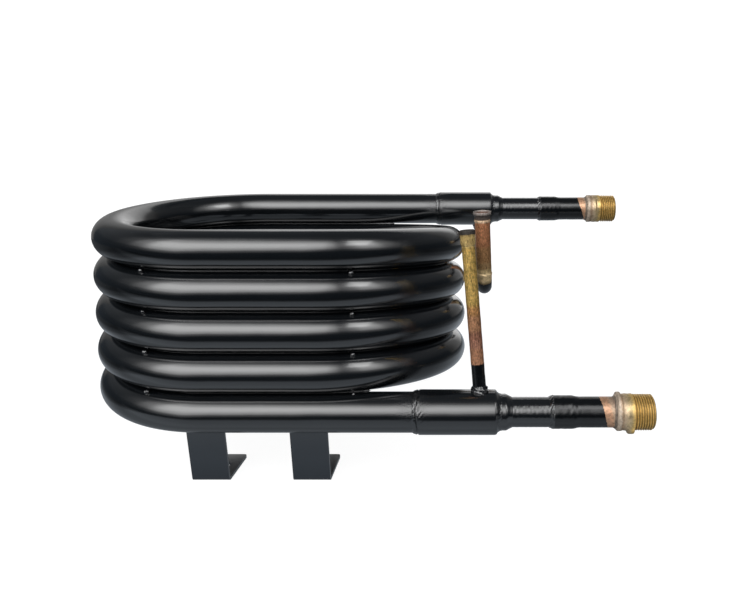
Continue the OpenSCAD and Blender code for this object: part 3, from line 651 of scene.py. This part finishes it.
leg_foot = elbow_path[-1]
leg_tilt = math.radians(LEG_LEAN)
leg_axis = leaned((0, -math.sin(leg_tilt), math.cos(leg_tilt)), -UP_LEAN)
# Along the leg, the lines are its streaks, lightened further as painted highlight streaks. The pale rim at the mouth is
# worn metal, lightened as a painted highlight. Inside the bore the colour darkens deeper in, as painted shade.
leg_finish = patina("upper_stub_finish", (100, 0, 0), 2.05, [
    (-3, BLOTCH, 0.4, 0.45), (7.0, (0.56, 0.41, 0.20), 0.4, 0.45), (9.5, (0.36, 0.22, 0.10), 0.4, 0.44),
    (15, (0.36, 0.22, 0.10), 0.4, 0.44), (18, (0.43, 0.23, 0.10), 0.6, 0.42),
    (34, (0.46, 0.24, 0.105), 0.6, 0.42), (39, (0.56, 0.24, 0.115), 0.6, 0.42),
    (65.5, (0.60, 0.26, 0.125), 0.6, 0.42), (67, (0.76, 0.53, 0.34), 0.35, 0.45),
    (69.6, (0.76, 0.53, 0.34), 0.35, 0.45), (70.4, (0.09, 0.07, 0.06), 0.3, 0.5),
    (76.6, (0.10, 0.08, 0.07), 0.3, 0.5), (77.6, (0.30, 0.26, 0.235), 0.3, 0.5),
    (81.8, (0.30, 0.26, 0.235), 0.3, 0.5), (82.6, (0.16, 0.085, 0.06), 0.4, 0.5),
    (110, (0.10, 0.05, 0.04), 0.4, 0.5)],
    kind="UV", wobble=0.7, wobble_scale=150, mottle=0.45, streak=0.7, pits=0.35).mat
joint_finish = patina("upper_joint_finish", (0, 0, 1000), 0, [(-900, BLOTCH, 0.4, 0.45), (900, BLOTCH, 0.4, 0.45)],
                      mottle=0.4, pits=0.5).mat
line = [(-1.0, 8.45), (-1.0, 9.5), (66.9, 9.5), (67.4, 9.85), (68.5, 9.85), (69.0, 9.6), (73.9, 9.75),
        (75.1, 10.6), (76.1, 11.15), (78.8, 11.2), (79.5, 10.9), (79.5, 10.2), (78.8, 9.9), (73.5, 8.6),
        (-1.0, 8.45)]
grid = turned(line, leg_foot, leg_axis, 88, 0.45, 0.25,
              lambda x, a: np.where(x < 78.0, 0.05 * waves(31, x, a, 14, 4), 0.0) - 0.03, side=FRONT)
grid_object("upper_stub_form", [grid], leg_finish, replaces=("upper_stub",))
grid = turned([(-1.2, 9.4), (-0.6, 9.9), (0.6, 10.3), (2.0, 10.0), (3.4, 9.4)], leg_foot, leg_axis, 88, 0.25, 0.3,
              lambda x, a: 0.2 * waves(37, x, a, 4, 7) - 0.1, side=FRONT)
grid_object("upper_joint_braze_form", [grid], joint_finish, replaces=("upper_joint_braze",))


# ---------------------------------------------------------------- welds on the coil
def bead(center, along, half_len, radius, seed, rows=20, around=28):
    """A weld bead: an ellipsoid c + L cos t T + r sin t (N cos a + B sin a), its surface uneven by a few waves."""
    t, a = np.meshgrid(np.linspace(0, math.pi, rows), np.linspace(0, TAU, around, endpoint=False), indexing="ij")
    along = np.asarray(along, float) / np.linalg.norm(along)
    n = np.cross(along, (0, 0, 1.0))
    n /= np.linalg.norm(n)
    b = np.cross(n, along)
    r = radius * np.sin(t) ** 0.8 * (1 + 0.12 * waves(seed, 1000 * half_len * np.cos(t), a, 3.5, 3))
    points = (np.asarray(center) + (half_len * np.cos(t))[..., None] * along
              + r[..., None] * (np.cos(a)[..., None] * n + np.sin(a)[..., None] * b))
    return points, True, np.stack([t * 0.05, a * 0.03], -1)


BEAD_FROM_TUBE, HALF_STEP = 21.0, 19.3  # mm from a bead to the centre lines, and half the distance between those
LEFT_TACK, RIGHT_TACK = 23.3, 17.3  # degrees round the bend
BEAD_HALF_LEN, BEAD_R, BEAD_DROP = 2.7 * MM, 2.3 * MM, 1.2 * MM


def tack_beads(rear):
    """The beads in the grooves: each stands in the crevice between two turns, outside the bend at its angle."""
    grids = []
    reach = math.sqrt(BEAD_FROM_TUBE ** 2 - HALF_STEP ** 2) * MM
    for k in range(TURNS):
        for left in (True, False):
            a = math.radians(LEFT_TACK if left else RIGHT_TACK)
            out = np.array([-math.sin(a) if left else math.sin(a), math.cos(a) if rear else -math.cos(a), 0])
            s = -math.cos(a) if rear else math.cos(a)
            if left:
                z = k * PITCH + PITCH / 4 * (1 - s)
            else:
                z = (k - 0.25 + (1 if rear else 0)) * PITCH + PITCH / 4 * (-math.cos(a) if rear else math.cos(a))
            ring = np.array([(-1 if left else 1) * (HALF_RUN + BEND_R * math.sin(a)),
                             (1 if rear else -1) * ROW_Y * math.cos(a), z])
            center = ring + reach * out + np.array([COIL_X, 0, LOW_Z + PITCH / 2 - BEAD_DROP])
            grids.append(bead(center, np.cross(out, (0, 0, 1.0)), BEAD_HALF_LEN, BEAD_R,
                              100 + 7 * k + left + 50 * rear))
    return grids


for rear, prefix in ((False, "front"), (True, "rear")):
    grid_object(prefix + "_tack_beads", tack_beads(rear), weld_paint, replaces=(prefix + "_tack_welds",))

# The CAD nodes have no UV map, so the parts of these patterns that read one are even on them.
feet_paint = black_gloss("feet_paint", wave=0.3, streak=0.1, speck=0.1, rough=0.3, base=(0.0145, 0.0195, 0.026))
copper = patina("inner_copper", (1000, 0, 0), 0, [(-900, COPPER, 1.0, 0.35), (900, COPPER, 1.0, 0.35)],
                mottle=0.15).mat
for node in NODES.values():
    if node.name != "outer_tube":
        node.data.materials.clear()
        is_weld = node.name.endswith("foot_welds")
        node.data.materials.append(copper if node.name == "inner_tube" else weld_paint if is_weld else feet_paint)


# ---------------------------------------------------------------- stage and light
def flat(name, size, location, rotation, shades, sides, tint=(1, 1, 1)):
    """A stage sheet. The camera sees it white, with the faint shadow of the part. Glossy and transmission rays don't
    see that white: they see a grey, shades over y times sides over the distance |x| from the coil's middle, times tint.
    This grey is a painted pool of light that fades away from the part, and on the floor it holds a painted shadow under
    the part. Other rays see it as paper of the same grey."""
    bpy.ops.mesh.primitive_plane_add(size=1, location=location, rotation=rotation)
    obj = bpy.context.object
    obj.name = name
    obj.scale = (*size, 1)
    n = Nodes(name + "_paper")
    n.set(Roughness=0.9, Specular_IOR_Level=0.0)
    place = n.add("ShaderNodeNewGeometry")
    split = n.add("ShaderNodeSeparateXYZ")
    n.link(place, "Position", split, "Vector")
    low, high = shades[0][0], shades[-1][0]
    t = n.math("MULTIPLY_ADD", (split, "Y"), 1 / (high - low))
    t.inputs[2].default_value = -low / (high - low)
    grey = n.ramp(t, "Value", [((y - low) / (high - low), g) for y, g in shades], "EASE")
    aside = n.math("ABSOLUTE", (n.math("SUBTRACT", (split, "X"), COIL_X), "Value"))
    t = n.math("MULTIPLY", (aside, "Value"), 1 / sides[-1][0])
    fall = n.ramp(t, "Value", [(x / sides[-1][0], g) for x, g in sides], "EASE")
    both = n.add("ShaderNodeVectorMath", operation="MULTIPLY")
    n.link(grey, "Color", both, 0)
    n.link(fall, "Color", both, 1)
    ray = n.add("ShaderNodeLightPath")
    mirrored = n.math("MAXIMUM", (ray, "Is Glossy Ray"), (ray, "Is Transmission Ray"))
    paper = n.mix((mirrored, "Value"), (both, "Vector"), (0, 0, 0))
    paper = n.mix((ray, "Is Camera Ray"), (paper, 2), (0.2, 0.2, 0.2))
    n.link(paper, 2, n.bsdf, "Base Color")
    cool = n.add("ShaderNodeVectorMath", operation="MULTIPLY")
    n.link(both, "Vector", cool, 0)
    cool.inputs[1].default_value = tint
    seen = n.mix((ray, "Is Camera Ray"), (cool, "Vector"), (0.94, 0.94, 0.94))
    n.link(seen, 2, n.bsdf, "Emission Color")
    show = n.math("MAXIMUM", (ray, "Is Camera Ray"), (mirrored, "Value"))
    n.link(show, "Value", n.bsdf, "Emission Strength")
    obj.data.materials.append(n.mat)
    return obj


# For glossy rays the floor is a painted pool of light: dark far in front, pale near the part, with a painted shadow
# just under its front row (the dip from y -0.14 on), and a painted falloff to the sides.
FLOOR_GREYS_PAINTED_SHADOW = [(-0.45, 0.02), (-0.36, 0.05), (-0.28, 0.42), (-0.18, 0.45), (-0.14, 0.28), (-0.10, 0.20),
                (0.3, 0.35)]
FLOOR_PAINTED_FALLOFF = [(0, 1.0), (0.38, 1.0), (0.55, 0.40), (0.9, 0.15)]
BACKDROP_SHADES = [(0, 0.85), (9, 0.85)]
# For glossy rays the backdrop's grey fades away from the coil's middle: a painted falloff of light.
BACKDROP_PAINTED_FALLOFF = [(0, 1.0), (0.5, 0.9), (1.2, 0.25), (2.5, 0.12)]
flat("floor", (5.0, 3.0), (0, 1.05, -0.0005), (0, 0, 0), FLOOR_GREYS_PAINTED_SHADOW, FLOOR_PAINTED_FALLOFF, tint=(0.88, 0.97, 1.07))
flat("backdrop", (5.0, 2.2), (0, 1.8, 1.0), (math.radians(90), 0, 0), BACKDROP_SHADES, BACKDROP_PAINTED_FALLOFF)


def studio(front, dim):
    """The world: white to the camera alone. Other rays see a wide softbox in front, front * up(elevation) *
    across(azimuth) + dim, where azimuth 0 is in front (-Y) and grows to the right. Its lower edge climbs by climb
    times the angle from its middle, up to climb_reach."""
    middle, climb_reach, climb = math.radians(-32), math.radians(36), 0.33
    lower_stops = [(-150, 0), (-14, 0), (-4, 0.12), (7, 0.62), (18, 0.95), (28, 1.0), (90, 1.0)]
    upper_stops = [(-90, 1.0), (38, 1.0), (50, 0.60), (60, 0.16), (70, 0.015), (90, 0.0)]
    across_stops = [(-180, 0.03), (-98, 0.02), (-80, 0.06), (-66, 0.30), (-50, 1.0), (1, 1.0), (9, 0.62),
                    (16, 0.16),
                    (26, 0.42), (34, 0.88), (44, 0.80), (60, 0.22), (76, 0.02), (180, 0.03)]
    world = bpy.data.worlds.new("studio")
    bpy.context.scene.world = world
    world.use_nodes = True
    tree = world.node_tree
    tree.nodes.clear()

    def add(kind, *values, **settings):
        """A node with its settings, its first inputs linked to sockets or set to values."""
        node = tree.nodes.new(kind)
        for key, value in settings.items():
            setattr(node, key, value)
        for socket, value in zip(node.inputs, values):
            if isinstance(value, bpy.types.NodeSocket):
                tree.links.new(value, socket)
            else:
                socket.default_value = value
        return node

    def math_node(operation, *values):
        return add("ShaderNodeMath", *values, operation=operation).outputs[0]

    def vector_node(operation, *values):
        return add("ShaderNodeVectorMath", *values, operation=operation).outputs[0]

    def curve(source, low, high, stops):
        """stops are (degrees, level) over the angle source in radians."""
        fit = add("ShaderNodeMapRange", source, math.radians(low), math.radians(high))
        ramp = add("ShaderNodeValToRGB", fit.outputs["Result"])
        ramp.color_ramp.interpolation = "EASE"
        while len(ramp.color_ramp.elements) < len(stops):
            ramp.color_ramp.elements.new(0.5)
        for element, (degrees, level) in zip(ramp.color_ramp.elements, stops):
            element.position = (degrees - low) / (high - low)
            element.color = (level, level, level, 1)
        return ramp.outputs["Color"]

    way = add("ShaderNodeSeparateXYZ", add("ShaderNodeTexCoord").outputs["Generated"]).outputs
    elevation = math_node("ARCSINE", way["Z"])
    azimuth = math_node("ARCTAN2", way["X"], math_node("MULTIPLY", way["Y"], -1))
    off_middle = math_node("ABSOLUTE", math_node("ADD", azimuth, -middle))
    off_middle = math_node("MINIMUM", off_middle, climb_reach)
    lower_edge = curve(math_node("MULTIPLY_ADD", off_middle, -climb, elevation), -150, 90, lower_stops)
    upper_edge = curve(elevation, -90, 90, upper_stops)
    up = vector_node("MULTIPLY", lower_edge, upper_edge)
    softbox = vector_node("MULTIPLY", up, curve(azimuth, -180, 180, across_stops))
    level = vector_node("MULTIPLY_ADD", softbox, (front, front, front), (0.8 * dim, dim, 1.25 * dim))
    soft = add("ShaderNodeBackground", level)
    pale = add("ShaderNodeBackground", (1, 1, 1, 1))
    is_camera = add("ShaderNodeLightPath").outputs["Is Camera Ray"]
    mix = add("ShaderNodeMixShader", is_camera, soft.outputs[0], pale.outputs[0])
    add("ShaderNodeOutputWorld", mix.outputs[0])


studio(3.8, 0.035)
AIM = np.array([COIL_X, -0.1, 0.16])  # where the lamps point


def soft_light(name, azimuth, elevation, distance, width, height, radiance):
    """A flat light that faces the part: azimuth 0 is in front (-Y) and grows to the right, power = pi area radiance."""
    data = bpy.data.lights.new(name, "AREA")
    data.shape = "RECTANGLE"
    data.size, data.size_y = width, height
    data.energy = radiance * math.pi * width * height
    obj = bpy.data.objects.new(name, data)
    az, el = math.radians(azimuth), math.radians(elevation)
    d = np.array([math.sin(az) * math.cos(el), -math.cos(az) * math.cos(el), math.sin(el)])
    obj.location = AIM + distance * d
    obj.rotation_euler = (math.radians(90) - el, 0, az)
    bpy.context.scene.collection.objects.link(obj)
    return obj


soft_light("key", -30, 30, 3.0, 1.6, 1.0, 0.4)
soft_light("overhead", 0, 90, 2.0, 3.0, 2.0, 0.05)
# The side lamp serves the pipe ends, so it stands further to the right.
side = soft_light("side", 12, 52, 1.1, 0.34, 0.5, 2.4)
side.location += mathutils.Vector((0.42, 0.0, -0.06))

# ---------------------------------------------------------------- camera
CAMERA_DIP = 6.493  # degrees below level
camera = bpy.data.cameras.new("camera")
camera.sensor_width = 36
camera.lens = 32.52
camera.shift_x = -0.1192
camera.shift_y = -0.0973
eye = bpy.data.objects.new("camera", camera)
eye.location = (COIL_X + 0.1961, -0.7441, LOW_Z + 0.2407)
eye.rotation_euler = (math.radians(90 - CAMERA_DIP), 0, 0)
bpy.context.scene.collection.objects.link(eye)
bpy.context.scene.camera = eye
bpy.context.scene.view_settings.view_transform = "Standard"
